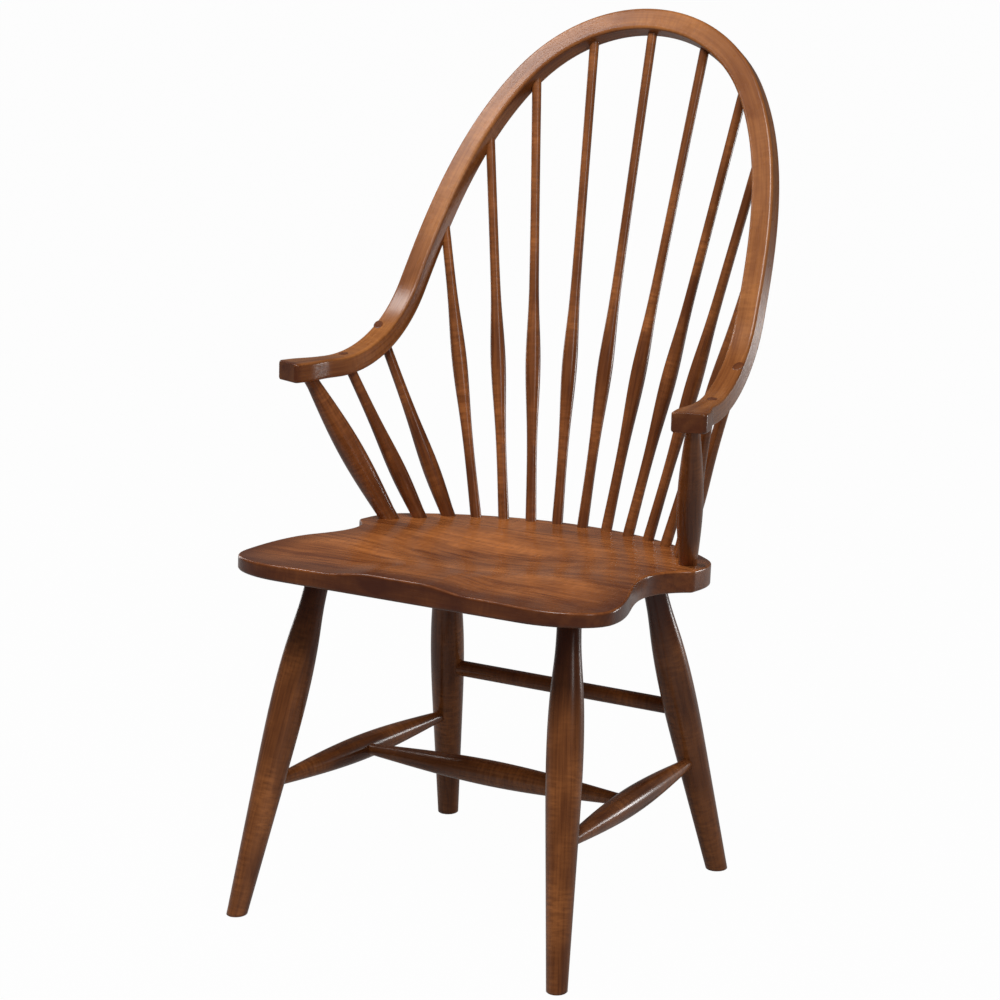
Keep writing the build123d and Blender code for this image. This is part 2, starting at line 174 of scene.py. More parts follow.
class StageSettings(bpy.types.PropertyGroup):
    """Floor, lamps and camera."""

    floor: colour("Floor", (0.36, 0.36, 0.36), "Plain pale floor")
    world: FloatProperty(name="World", description="Strength of the even light", default=0.10, min=0)
    key: power("Key", 72, "Power of the large lamp above the front")
    side: power("Side", 10, "Power of the lamp above the left arm")
    left_strip: power("Left strip", 6, "Power of the strip lamp behind on the left")
    right_strip: power("Right strip", 12, "Power of the strip lamp on the right")
    low: power("Low", 11, "Power of the low lamp behind on the right")
    azimuth: angle("Azimuth", 31.42, "Camera's direction round the chair")
    elevation: angle("Elevation", 14.03, "Camera's height above the horizon")
    distance: length("Distance", 3.7173, "Camera's distance from its aim")
    aim_right: length("Aim right", 0.0130, "Aim to the right of the seat's axis")
    aim_up: length("Aim up", 0.0168, "Aim above mid height")
    aim_height: length("Aim height", 0.500, "Mid height of the picture")
    lens: FloatProperty(name="Lens", description="Focal length in millimetres", default=107.96, min=1)


class WindsorSettings(bpy.types.PropertyGroup):
    """All settings of the chair."""

    seat: PointerProperty(type=SeatSizes)
    bow: PointerProperty(type=BowSizes)
    turning: PointerProperty(type=TurningSizes)
    finish: PointerProperty(type=FinishSettings)
    stage: PointerProperty(type=StageSettings)


# Turnings as (distance along, radius)
LEG_TURNING = (
    (0.009, 0.0147), (0.050, 0.0158), (0.086, 0.0190), (0.142, 0.0220), (0.268, 0.0197), (0.448, 0.0129),
)
SPINDLE_TURNING = (
    (0.009, 0.0072), (0.130, 0.0075), (0.212, 0.0100), (0.284, 0.0072), (0.340, 0.0063),
)
ARM_SPINDLE_TURNING = ((0.009, 0.0092), (0.066, 0.0112), (0.133, 0.0083))
ARM_POST_TURNING = ((0.009, 0.0119), (0.112, 0.0161))
SPINDLE_HEAD, ARM_SPINDLE_HEAD, ARM_POST_HEAD = 0.0062, 0.0065, 0.0091
SIDE_RADII, CROSS_RADII, REAR_RADIUS = (0.0076, 0.0165), (0.0075, 0.0166), 0.0104
LEG_LAND, CROSS_LAND, MOUTH_LAND = 0.025, 0.020, 0.009
SPINDLE_GAPS = (0.0856, 0.0926, 0.0970, 0.1300)
ARM_SPINDLE_FEET = ((0.1957, 0.1425), (0.1743, 0.1793))
ARM_SPINDLE_HEADS = ((0.2680, 0.0220), (0.2637, 0.1030))
ARM_POST_FOOT, ARM_POST_PLACE = (0.2212, 0.1084), (0.2759, -0.0394)

# Hollows of the seat, as places in the deck's plane where they begin and end
DISH_REACH, THIGH_RISE, FRONT_FALL = (0.200, 0.165), (0.035, 0.105), (0.050, 0.170)
SEAT_CORNER = 0.010
OUTLINE_SPACING, DECK_SPACING = 0.004, 0.006

# Meshes of turned pieces: columns round, rows across an end, and the bevel of plain and of cut ends
TURN_COLUMNS, CAP_ROWS = 48, 4
PLAIN_BEVEL, CUT_BEVEL = 0.0003, 0.0006
RAIL_SPACING, HAND_ROUND_SHARE = 0.004, 0.96

# Pieces are sawn from far-apart places of the same wood
TURNED_APART, SEAT_APART, BOW_APART = 1.7, 31.0, 57.0

# Lacquer and open grain
COAT_ROUGHNESS, SPECULAR_LEVEL = 0.20, 0.22
RELIEF_STRENGTH, RELIEF_DEPTH = 0.03, 0.0004

# Toner and painted shade: its share at the place and the distances over which it fades
# The legs' share is painted shade just below the seat, with some toner
LEG_PAINTED_SHADE, LEG_PAINTED_SHADE_FADE = 0.9, (0.03, 0.13)
SEAT_TONER, SEAT_TONER_WIDTH, WALL_TONER = 0.85, 0.070, 0.60
HAND_END_TONER, HAND_END_FADE = 0.55, 0.012
HAND_TONER, HAND_FADE = 0.30, 0.12
END_GRAIN_TONER = 0.62


def settings():
    """The chair's settings in the scene."""
    return bpy.context.scene.windsor


def unit(vector):
    """The vector at length 1."""
    return vector / np.linalg.norm(vector)


def smooth(value, low, high):
    """Smooth step from 0 at low to 1 at high."""
    part = np.clip((np.asarray(value, float) - low) / (high - low), 0, 1)
    return part * part * (3 - 2 * part)


def spline(knots, values, slopes=None):
    """Cubic spline through values at knots, with natural ends or the given end slopes."""
    knots, values = np.asarray(knots, float), np.asarray(values, float)
    count, steps = len(knots), np.diff(knots)
    chords = (np.diff(values, axis=0).T / steps).T
    matrix, right = np.zeros((count, count)), np.zeros_like(values)
    for row in range(1, count - 1):
        matrix[row, row - 1:row + 2] = steps[row], 2 * (steps[row - 1] + steps[row]), steps[row - 1]
        right[row] = 3 * (steps[row] * chords[row - 1] + steps[row - 1] * chords[row])
    if slopes is None:
        matrix[0, :2], matrix[-1, -2:] = (2, 1), (1, 2)
        right[0], right[-1] = 3 * chords[0], 3 * chords[-1]
    else:
        matrix[0, 0] = matrix[-1, -1] = 1
        right[0], right[-1] = slopes
    rates = np.linalg.solve(matrix, right)

    def read(places):
        places = np.asarray(places, float)
        at = np.clip(np.searchsorted(knots, places) - 1, 0, count - 2)
        h = steps[at]
        t = (places - knots[at]) / h
        shape = (-1,) + (1,) * (values.ndim - 1)
        h, t = h.reshape(shape), t.reshape(shape)
        return (
            values[at] * (1 + 2 * t) * (1 - t) ** 2
            + rates[at] * h * t * (1 - t) ** 2
            + values[at + 1] * t * t * (3 - 2 * t)
            + rates[at + 1] * h * t * t * (t - 1)
        )

    return read


# Meshes

def make_piece(name, vertices, faces, grain, material, edge=None, toner_and_shade=None, flat=()):
    """A mesh object with its grain coordinates, a mask of rounded edges for a painted highlight, and toner
    with painted shade as point attributes.
    """
    mesh = bpy.data.meshes.new(name)
    mesh.from_pydata([tuple(v) for v in vertices], [], faces)
    mesh.attributes.new("grain", "FLOAT_VECTOR", "POINT").data.foreach_set(
        "vector", np.asarray(grain, np.float32).ravel()
    )
    for label, values in (("edge", edge), ("toner_and_shade", toner_and_shade)):
        values = np.zeros(len(vertices)) if values is None else values
        mesh.attributes.new(label, "FLOAT", "POINT").data.foreach_set("value", np.asarray(values, np.float32))
    rounded = np.ones(len(mesh.polygons), bool)
    rounded[list(flat)] = False
    mesh.polygons.foreach_set("use_smooth", rounded)
    mesh.materials.append(material)
    mesh.validate()
    piece = bpy.data.objects.new(name, mesh)
    bpy.context.scene.collection.objects.link(piece)
    return piece


def place_piece(piece, node):
    """The piece stands for a solid of the frame and rides with the chair."""
    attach(piece, "root")
    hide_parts(node)


def tube_faces(rows, columns):
    """Quads of a closed tube of rings."""
    faces = []
    for row in range(rows - 1):
        for column in range(columns):
            right = (column + 1) % columns
            faces.append(
                (row * columns + column, row * columns + right,
                 (row + 1) * columns + right, (row + 1) * columns + column)
            )
    return faces


def radius_reader(stations):
    """Radius along a turned piece: a spline between the stations, straight beyond them."""
    places, radii = zip(*stations)
    curve = spline(places, radii)
    return lambda distance: curve(np.clip(distance, places[0], places[-1]))


def turn(
    name, start, end, stations, start_tenon, end_tenon, material, seed, trim=None, toner_and_shade=None, rings=120
):
    """A turned piece; trim(points, way) tells how far each far-end point moves along the axis."""
    start, end = np.asarray(start, float), np.asarray(end, float)
    way = unit(end - start)
    across = unit(np.cross((0, 0, 1), way))
    other = np.cross(way, across)
    columns = TURN_COLUMNS
    radius_at = radius_reader(stations)
    total = np.linalg.norm(end - start)
    turns = np.arange(columns) * 2 * np.pi / columns
    circle = np.outer(np.cos(turns), across) + np.outer(np.sin(turns), other)
    far = np.full(columns, total + end_tenon)
    if trim is not None:
        for _ in range(4):
            far += trim(start + np.outer(far, way) + circle * radius_at(far)[:, None], way)
    parts = np.linspace(0, 1, rings)
    distances = -start_tenon + parts[:, None] * (far[None, :] + start_tenon)
    radii = radius_at(distances.ravel()).reshape(distances.shape)
    chamfer = PLAIN_BEVEL if trim is None else CUT_BEVEL
    body = start + distances[..., None] * way + circle[None] * radii[..., None]
    rows = [body[:-1], body[-1:] - chamfer * way]
    row_distances = [distances[:-1], distances[-1:] - chamfer]
    row_radii = [radii[:-1], radii[-1:]]
    for step in range(CAP_ROWS):
        inner = (radii[-1] - chamfer) * (1 - step / CAP_ROWS)
        reach = far.copy()
        if trim is not None:
            for _ in range(3):
                reach += trim(start + np.outer(reach, way) + circle * inner[:, None], way)
        rows.append((start + np.outer(reach, way) + circle * inner[:, None])[None])
        row_distances.append(reach[None])
        row_radii.append(inner[None])
    points = np.concatenate(rows)
    count = len(points)
    vertices = points.reshape(-1, 3)
    distances, radii = np.concatenate(row_distances).ravel(), np.concatenate(row_radii).ravel()
    faces = tube_faces(count, columns)
    last = (count - 1) * columns
    faces.append(tuple(range(columns - 1, -1, -1)))
    faces.append(tuple(range(last, last + columns)))
    spin = np.random.default_rng(seed).uniform(0, 2 * np.pi)
    phase = np.tile(turns, count) + spin
    grain = np.stack([radii * np.cos(phase), radii * np.sin(phase), distances + seed * TURNED_APART], 1)
    tone = None if toner_and_shade is None else toner_and_shade(distances)
    flat = [len(faces) - 1, len(faces) - 2]
    return make_piece(name, vertices, faces, grain, material, toner_and_shade=tone, flat=flat)


# The seat's own frame

def deck_point(x, y, height=0.0):
    """A place on the deck, in the chair's frame."""
    seat = settings().seat
    c, s = math.cos(seat.tilt), math.sin(seat.tilt)
    x, y, height = np.broadcast_arrays(np.asarray(x, float), y, height)
    return np.stack([x, -seat.ahead + y * c + height * s, seat.height - y * s + height * c], -1)


def seat_drop(x, y):
    """Depth of the seat's top below the deck plane."""
    seat = settings().seat
    reach = np.hypot(x / DISH_REACH[0], y / DISH_REACH[1])
    dish = seat.dish_depth * (1 - smooth(reach, 0, 1))
    thigh = seat.thigh_depth * smooth(abs(x), *THIGH_RISE)
    wing = seat.wing_drop * smooth(abs(x), THIGH_RISE[1], seat.wing_half_width)
    return dish + (thigh + wing) * smooth(-y, *FRONT_FALL)


def hermite(first, last, first_way, last_way, count):
    """Curve between two points that leaves and arrives along given ways."""
    first, last = np.asarray(first, float), np.asarray(last, float)
    span = np.linalg.norm(last - first)
    a, b = unit(np.asarray(first_way, float)) * span, unit(np.asarray(last_way, float)) * span
    t = np.linspace(0, 1, count, endpoint=False)[:, None]
    return (
        first * (1 + 2 * t) * (1 - t) ** 2 + a * t * (1 - t) ** 2
        + last * t * t * (3 - 2 * t) + b * t * t * (t - 1)
    )


def arc(centre, radii, first, last, count):
    """Points of an elliptical arc, angles in radians."""
    t = np.linspace(first, last, count, endpoint=False)
    return np.stack([centre[0] + radii[0] * np.cos(t), centre[1] + radii[1] * np.sin(t)], 1)


def seat_outline(spacing):
    """Closed outline of the seat in the deck's plane, at an even spacing."""
    s = settings().seat
    half = [np.stack([np.linspace(0, s.front_flat, 60, endpoint=False), np.full(60, -s.front)], 1)]
    half.append(arc((s.front_flat, -s.wing_ahead), (s.wing_half_width - s.front_flat, s.front - s.wing_ahead),
                    -math.pi / 2, 0, 80))
    half.append(hermite((s.wing_half_width, -s.wing_ahead), (s.waist_half_width, s.waist_behind),
                        (0, 1), (0, 1), 80))
    step_x, step_y = s.block_half_width - s.waist_half_width, s.block_start - s.waist_behind
    sweep = (step_x ** 2 + step_y ** 2) / (2 * step_x)
    end = math.pi - math.asin(step_y / sweep)
    lead = SEAT_CORNER * math.tan((end - math.pi / 2) / 2)
    half.append(arc((s.waist_half_width + sweep, s.waist_behind), (sweep, sweep), math.pi,
                    end + lead / sweep, 50))
    before = arc((s.waist_half_width + sweep, s.waist_behind), (sweep, sweep), end + lead / sweep, end, 1)[0]
    after = np.array((s.block_half_width, s.block_start + lead))
    half.append(hermite(before, after, (math.sin(end), -math.cos(end)), (0, 1), 12))
    half.append(np.stack([np.full(12, s.block_half_width),
                          np.linspace(s.block_start + lead, s.block_end, 12, endpoint=False)], 1))
    chord = math.sqrt(s.rear_radius ** 2 - s.rear_half_arc ** 2)
    arc_y = s.rear - s.rear_radius + chord
    half.append(hermite((s.block_half_width, s.block_end), (s.rear_half_arc, arc_y), (0, 1),
                        (-chord, s.rear_half_arc), 30))
    half.append(arc((0, s.rear - s.rear_radius), (s.rear_radius, s.rear_radius),
                    math.atan2(chord, s.rear_half_arc), math.pi / 2, 80))
    half = np.concatenate(half + [np.array([[0, s.rear]])])
    whole = np.concatenate([half, half[-2:0:-1] * (-1, 1)])
    closed = np.concatenate([whole, whole[:1]])
    run = np.concatenate([[0], np.cumsum(np.linalg.norm(np.diff(closed, axis=0), axis=1))])
    count = 2 * round(run[-1] / spacing / 2)
    at = np.linspace(0, run[-1], count, endpoint=False)
    return np.stack([np.interp(at, run, closed[:, 0]), np.interp(at, run, closed[:, 1])], 1)


def inset(outline, amount):
    """The outline drawn in by an amount."""
    way = np.roll(outline, -1, 0) - np.roll(outline, 1, 0)
    way /= np.linalg.norm(way, axis=1)[:, None]
    return outline + amount * np.stack([-way[:, 1], way[:, 0]], 1)


def nearest_distance(points, outline):
    """Distance of each point from the outline."""
    found = np.empty(len(points))
    for start in range(0, len(points), 2000):
        some = points[start:start + 2000]
        found[start:start + 2000] = np.sqrt(((some[:, None] - outline[None]) ** 2).sum(2)).min(1)
    return found


# The bow's own frame

def face_angle(run):
    """Upward angle of the bow's face at a distance along it from the bend's beginning."""
    bow = settings().bow
    bend_run = bow.bend_radius * (math.pi / 2 - bow.lean + bow.arm_tilt)
    return np.clip(run, 0, bend_run) / bow.bend_radius - bow.arm_tilt


def face_point(run):
    """Point of the bow's face in the side view."""
    bow, seat = settings().bow, settings().seat
    run = np.asarray(run, float)
    bend_run = bow.bend_radius * (math.pi / 2 - bow.lean + bow.arm_tilt)
    now = face_angle(run)
    straight = np.minimum(run, 0) + np.maximum(run - bend_run, 0)
    y = bow.bend_behind - seat.ahead + bow.bend_radius * (np.sin(now) + math.sin(bow.arm_tilt))
    z = bow.arm_height + bow.bend_radius * (math.cos(bow.arm_tilt) - np.cos(now))
    return np.stack([np.zeros_like(run), y + straight * np.cos(now), z + straight * np.sin(now)], -1)


def face_normal(run):
    """Direction out of the bow's face, towards the sitter."""
    now = face_angle(np.asarray(run, float))
    return np.stack([np.zeros_like(now), -np.sin(now), np.cos(now)], -1)


def rail_thickness(run):
    """Thickness of the rail at a distance along its face."""
    bow = settings().bow
    bend_run = bow.bend_radius * (math.pi / 2 - bow.lean + bow.arm_tilt)
    return bow.arm_thickness + (bow.thickness - bow.arm_thickness) * smooth(run, 0, bend_run)


def on_rail(breadth, run, depth):
    """A place on the bow's face, sunk to a depth."""
    return face_point(run) + np.array((breadth, 0, 0)) - face_normal(run) * depth


def rail_line():
    """Half of the bow's unrolled centreline: lengths, points (half breadth, run) and ways."""
    bow = settings().bow
    bend_run = bow.bend_radius * (math.pi / 2 - bow.lean + bow.arm_tilt)
    top = bend_run + (bow.top - face_point(bend_run)[2]) / math.cos(bow.lean) - bow.width / 2
    t = np.linspace(0, bow.crown_angle, 400, endpoint=False)
    crown = np.stack([bow.crown_radius * np.sin(t), top - bow.crown_radius * (1 - np.cos(t))], 1)
    sine, cosine = math.sin(bow.crown_angle), math.cos(bow.crown_angle)
    knots = np.array([
        (bow.crown_radius * sine, top - bow.crown_radius * (1 - cosine)),
        (bow.shoulder, bow.shoulder_run),
        (bow.hip, bow.hip_run),
        (bow.elbow, 0),
        (bow.hand, -bow.arm_length),
    ])
    at = np.concatenate([[0], np.cumsum(np.linalg.norm(np.diff(knots, axis=0), axis=1))])
    ends = np.array([(cosine, -sine), unit(np.array((bow.hand - bow.elbow, -bow.arm_length)))])
    side = spline(at, knots, ends)(np.linspace(0, at[-1], 1600))
    line = np.concatenate([crown, side])
    lengths = np.concatenate([[0], np.cumsum(np.linalg.norm(np.diff(line, axis=0), axis=1))])
    ways = np.gradient(line, lengths, axis=0)
    return lengths, line, ways


def rail_at(places):
    """Points and ways of the unrolled centreline at lengths along it."""
    lengths, line, ways = rail_line()
    read = [np.interp(places, lengths, column) for column in (*line.T, *ways.T)]
    return np.stack(read[:2], -1), np.stack(read[2:], -1)


def rounded_section(width, thickness, radius, arc_steps=6):
    """Rounded rectangle as offsets across the face and out of it, with a mark for its rounded edges."""
    points, marks = [], []
    guard = 0.0009
    for quarter, (sx, sy) in enumerate(((1, 1), (-1, 1), (-1, -1), (1, -1))):
        cx, cy = sx * (width / 2 - radius), sy * (thickness / 2 - radius)
        first = quarter * math.pi / 2
        for step in range(arc_steps + 1):
            turn_by = first + step / arc_steps * math.pi / 2
            points.append((cx + radius * math.cos(turn_by), cy + radius * math.sin(turn_by)))
            marks.append(math.sin(step / arc_steps * math.pi))
        flat = (thickness if quarter % 2 else width) - 2 * radius
        way = (math.cos(first + math.pi), math.sin(first + math.pi))
        last = points[-1]
        for part in (guard, flat * 0.3, flat * 0.5, flat * 0.7, flat - guard):
            points.append((last[0] + way[0] * part, last[1] + way[1] * part))
            marks.append(0)
    return np.array(points), np.array(marks)


# Lines of the turned pieces

def leg_lines():
    """Each leg's axis from the floor to the seat's underside."""
    t, seat = settings().turning, settings().seat
    lines = {}
    for side, sign in SIDES.items():
        lines["front", side] = (
            np.array((sign * t.front_foot_spread, -t.front_foot_ahead - seat.ahead, 0)),
            deck_point(sign * t.front_leg_inset, -t.front_leg_ahead, -seat.thickness),
        )
        lines["back", side] = (
            np.array((sign * t.rear_foot_spread, t.rear_foot_behind - seat.ahead, 0)),
            deck_point(sign * t.rear_leg_inset, t.rear_leg_behind, -seat.thickness),
        )
    return lines


def at_height(line, height):
    """The point of a line at a height above the floor."""
    low, high = line
    return low + (high - low) * (height - low[2]) / (high[2] - low[2])


def stretcher_lines():
    """Each stretcher's axis between the axes that hold it."""
    t, legs = settings().turning, leg_lines()
    lines = {
        side: (
            at_height(legs["front", side], t.side_front_height),
            at_height(legs["back", side], t.side_rear_height),
        )
        for side in SIDES
    }
    lines["cross"] = tuple((low + high) / 2 for low, high in (lines["left"], lines["right"]))
    lines["back"] = tuple(at_height(legs["back", side], t.rear_height) for side in SIDES)
    return lines


# Materials

def add_node(tree, kind, inputs=None, **values):
    """A node with its settings and its inputs' values or links."""
    node = tree.nodes.new(kind)
    for key, value in values.items():
        setattr(node, key, value)
    for key, value in (inputs or {}).items():
        if isinstance(value, bpy.types.NodeSocket):
            tree.links.new(value, node.inputs[key])
        else:
            node.inputs[key].default_value = value
    return node


def math_node(tree, operation, first, second=0.0, third=0.0, clamp=False):
    """The output of a math node over values or sockets."""
    inputs = {0: first, 1: second, 2: third}
    return add_node(tree, "ShaderNodeMath", inputs, operation=operation, use_clamp=clamp).outputs[0]


def mix_colour(tree, factor, first, second):
    """The output of a node that mixes two colours."""
    node = tree.nodes.new("ShaderNodeMix")
    node.data_type = "RGBA"
    for socket, value in ((node.inputs["Factor"], factor), (node.inputs[6], first), (node.inputs[7], second)):
        if isinstance(value, bpy.types.NodeSocket):
            tree.links.new(value, socket)
        else:
            socket.default_value = value
    return node.outputs[2]


def new_group(name, inputs, outputs):
    """An empty shader node group with named sockets."""
    tree = bpy.data.node_groups.new(name, "ShaderNodeTree")
    for label, kind, value in inputs:
        socket = tree.interface.new_socket(label, in_out="INPUT", socket_type=kind)
        if value is not None:
            socket.default_value = value
    for label, kind in outputs:
        tree.interface.new_socket(label, in_out="OUTPUT", socket_type=kind)
    return tree, tree.nodes.new("NodeGroupInput").outputs, tree.nodes.new("NodeGroupOutput").inputs


def stretched_noise(tree, vector, scale, detail, roughness=0.55, distortion=0.0):
    """Noise over a vector scaled along each axis."""
    mapped = add_node(tree, "ShaderNodeVectorMath", {0: vector, 1: scale}, operation="MULTIPLY").outputs[0]
    node = add_node(
        tree, "ShaderNodeTexNoise",
        {"Vector": mapped, "Scale": 1.0, "Detail": detail, "Roughness": roughness, "Distortion": distortion},
    )
    return node.outputs["Fac"]


def spread(tree, value, low, high):
    """Stretch a value between two levels to 0 and 1."""
    return add_node(tree, "ShaderNodeMapRange", {0: value, 1: low, 2: high}, clamp=True).outputs[0]


def grain_group():
    """Figure of the wood: annual rings, fibres, curl, pores and blotches of stain."""
    tree, given, out = new_group(
        "wood figure",
        [("Grain", "NodeSocketVector", None), ("Rings", "NodeSocketFloat", 0.35),
         ("Fibre", "NodeSocketFloat", 0.35), ("Curl", "NodeSocketFloat", 0.25),
         ("Blotch", "NodeSocketFloat", 0.35), ("Ring Density", "NodeSocketFloat", 170.0),
         ("Heart", "NodeSocketFloat", 0.06)],
        [("Tone", "NodeSocketFloat"), ("Pores", "NodeSocketFloat"), ("Height", "NodeSocketFloat")],
    )
    grain = given["Grain"]
    wander = stretched_noise(tree, grain, (16, 16, 3.2), 3)
    parts = add_node(tree, "ShaderNodeSeparateXYZ", {0: grain}).outputs
    off_heart = math_node(tree, "ADD", parts["X"], given["Heart"])
    from_heart = math_node(
        tree, "SQRT",
        math_node(tree, "ADD", math_node(tree, "MULTIPLY", off_heart, off_heart),
                  math_node(tree, "MULTIPLY", parts["Y"], parts["Y"])),
    )
    bent = math_node(tree, "MULTIPLY_ADD", wander, 0.030, from_heart)
    year = math_node(tree, "FRACT", math_node(tree, "MULTIPLY", bent, given["Ring Density"]))
    late = math_node(tree, "POWER", year, 2.2)
    fade = spread(tree, year, 1.0, 0.86)
    ring = math_node(tree, "MULTIPLY", late, fade)
    fibre = spread(tree, stretched_noise(tree, grain, (420, 420, 9), 4, 0.6), 0.30, 0.70)
    streak = spread(tree, stretched_noise(tree, grain, (95, 95, 3.0), 3, 0.5), 0.32, 0.68)
    curl_where = spread(tree, stretched_noise(tree, grain, (22, 22, 9), 2), 0.42, 0.66)
    curl = spread(tree, stretched_noise(tree, grain, (55, 55, 240), 3, 0.5, 0.3), 0.34, 0.68)
    blotch = spread(tree, stretched_noise(tree, grain, (20, 20, 9), 3), 0.30, 0.72)
    pore_noise = stretched_noise(tree, grain, (1150, 1150, 60), 2, 0.5)
    pores = spread(tree, pore_noise, 0.66, 0.76)

    def lean(value, amount):
        return math_node(tree, "MULTIPLY", math_node(tree, "SUBTRACT", value, 0.5), amount)

    tone = math_node(tree, "SUBTRACT", 0.62, math_node(tree, "MULTIPLY", ring, given["Rings"]))
    tone = math_node(tree, "ADD", tone, lean(fibre, given["Fibre"]))
    tone = math_node(tree, "ADD", tone, lean(streak, given["Fibre"]))
    tone = math_node(tree, "ADD", tone, lean(math_node(tree, "MULTIPLY", curl, curl_where), given["Curl"]))
    tone = math_node(tree, "ADD", tone, lean(blotch, given["Blotch"]), clamp=True)
    tree.links.new(tone, out["Tone"])
    tree.links.new(pores, out["Pores"])
    relief = math_node(tree, "MULTIPLY_ADD", pores, -0.6, math_node(tree, "MULTIPLY", fibre, 0.4))
    tree.links.new(relief, out["Height"])
    return tree


def stain_group():
    """Stain over the figure, darker toner with painted shade, a painted highlight along rounded edges and the
    lacquer's unevenness.
    """
    tree, given, out = new_group(
        "stain and toner",
        [("Tone", "NodeSocketFloat", 0.5), ("Pores", "NodeSocketFloat", 0.0),
         ("Grain", "NodeSocketVector", None),
         ("Light", "NodeSocketColor", (0.4, 0.2, 0.1, 1)), ("Dark", "NodeSocketColor", (0.2, 0.1, 0.05, 1)),
         ("Toner And Shade", "NodeSocketColor", (0.05, 0.01, 0.005, 1)), ("Toner And Shade Mask", "NodeSocketFloat", 0.0),
         ("Edge Mask", "NodeSocketFloat", 0.0), ("Edge Highlight", "NodeSocketFloat", 0.25),
         ("Gloss", "NodeSocketFloat", 0.34)],
        [("Color", "NodeSocketColor"), ("Roughness", "NodeSocketFloat")],
    )
    stained = mix_colour(tree, given["Tone"], given["Dark"], given["Light"])
    stained = mix_colour(tree, math_node(tree, "MULTIPLY", given["Pores"], 0.45), stained, given["Dark"])
    cloud = spread(tree, stretched_noise(tree, given["Grain"], (30, 30, 14), 3), 0.25, 0.75)
    # Toner and painted shade darken the stain where the mask says
    toner_and_shade_share = math_node(
        tree, "MULTIPLY", given["Toner And Shade Mask"], math_node(tree, "MULTIPLY_ADD", cloud, 0.5, 0.75), clamp=True
    )
    stained = mix_colour(tree, toner_and_shade_share, stained, given["Toner And Shade"])
    # Painted highlight: the rounded edges are painted towards the light stain, broken up by noise
    highlight_breakup = spread(tree, stretched_noise(tree, given["Grain"], (60, 60, 45), 3), 0.35, 0.75)
    painted_edge_highlight = math_node(tree, "MULTIPLY", math_node(tree, "MULTIPLY", given["Edge Mask"], highlight_breakup), given["Edge Highlight"])
    stained = mix_colour(tree, painted_edge_highlight, stained, given["Light"])
    tree.links.new(stained, out["Color"])
    haze = stretched_noise(tree, given["Grain"], (38, 38, 20), 3)
    rough = math_node(tree, "MULTIPLY_ADD", math_node(tree, "SUBTRACT", haze, 0.5), 0.14, given["Gloss"])
    rough = math_node(tree, "MULTIPLY_ADD", given["Pores"], 0.12, rough, clamp=True)
    tree.links.new(rough, out["Roughness"])
    return tree


def group_of(name, build):
    """A shared node group, built once."""
    return bpy.data.node_groups.get(name) or build()


def wood_material(name, light, dark, figure, gloss=0.28, edge_highlight=0.25):
    """Stained and lacquered wood with its own figure and colours."""
    found = bpy.data.materials.get(name)
    if found:
        return found
    finish = settings().finish
    material = bpy.data.materials.new(name)
    material.use_nodes = True
    material.diffuse_color = (*light, 1)
    tree = material.node_tree
    shader = tree.nodes["Principled BSDF"]
    grain = add_node(tree, "ShaderNodeAttribute", attribute_name="grain").outputs["Vector"]
    edge = add_node(tree, "ShaderNodeAttribute", attribute_name="edge").outputs["Fac"]
    toner_and_shade = add_node(tree, "ShaderNodeAttribute", attribute_name="toner_and_shade").outputs["Fac"]
    wood = add_node(tree, "ShaderNodeGroup", node_tree=group_of("wood figure", grain_group))
    tree.links.new(grain, wood.inputs["Grain"])
    for key, value in figure.items():
        wood.inputs[key].default_value = value
    stain = add_node(tree, "ShaderNodeGroup", node_tree=group_of("stain and toner", stain_group))
    for key, value in (("Tone", wood.outputs["Tone"]), ("Pores", wood.outputs["Pores"]), ("Grain", grain),
                       ("Toner And Shade Mask", toner_and_shade), ("Edge Mask", edge)):
        tree.links.new(value, stain.inputs[key])
    stain.inputs["Light"].default_value = (*light, 1)
    stain.inputs["Dark"].default_value = (*dark, 1)
    stain.inputs["Toner And Shade"].default_value = (*finish.toner_and_shade, 1)
    # Strength of the painted highlight along the rounded edges
    stain.inputs["Edge Highlight"].default_value = edge_highlight
    stain.inputs["Gloss"].default_value = gloss
    bump = add_node(
        tree, "ShaderNodeBump",
        {"Height": wood.outputs["Height"], "Strength": RELIEF_STRENGTH, "Distance": RELIEF_DEPTH},
    )
    tree.links.new(stain.outputs["Color"], shader.inputs["Base Color"])
    tree.links.new(stain.outputs["Roughness"], shader.inputs["Roughness"])
    tree.links.new(bump.outputs["Normal"], shader.inputs["Normal"])
    shader.inputs["Coat Weight"].default_value = finish.coat
    shader.inputs["Coat Roughness"].default_value = COAT_ROUGHNESS
    shader.inputs["Specular IOR Level"].default_value = SPECULAR_LEVEL
    return material


def bow_wood():
    """Lighter stain of the bow."""
    finish = settings().finish
    return wood_material(
        "bow stain", finish.bow_light, finish.bow_dark,
        {"Rings": 0.30, "Fibre": 0.44, "Curl": 0.40, "Blotch": 0.40, "Ring Density": 150.0, "Heart": 0.09},
        edge_highlight=0.35,
    )


def seat_wood():
    """Blotched stain of the seat."""
    finish = settings().finish
    return wood_material(
        "seat stain", finish.seat_light, finish.seat_dark,
        {"Rings": 0.26, "Fibre": 0.34, "Curl": 0.34, "Blotch": 0.70, "Ring Density": 120.0, "Heart": 0.12},
        gloss=0.26, edge_highlight=0.40,
    )


def turned_wood():
    """Curled wood of the turned pieces."""
    finish = settings().finish
    return wood_material(
        "turned stain", finish.turned_light, finish.turned_dark,
        {"Rings": 0.20, "Fibre": 0.24, "Curl": 0.62, "Blotch": 0.42, "Ring Density": 210.0, "Heart": 0.05},
    )


# Operators

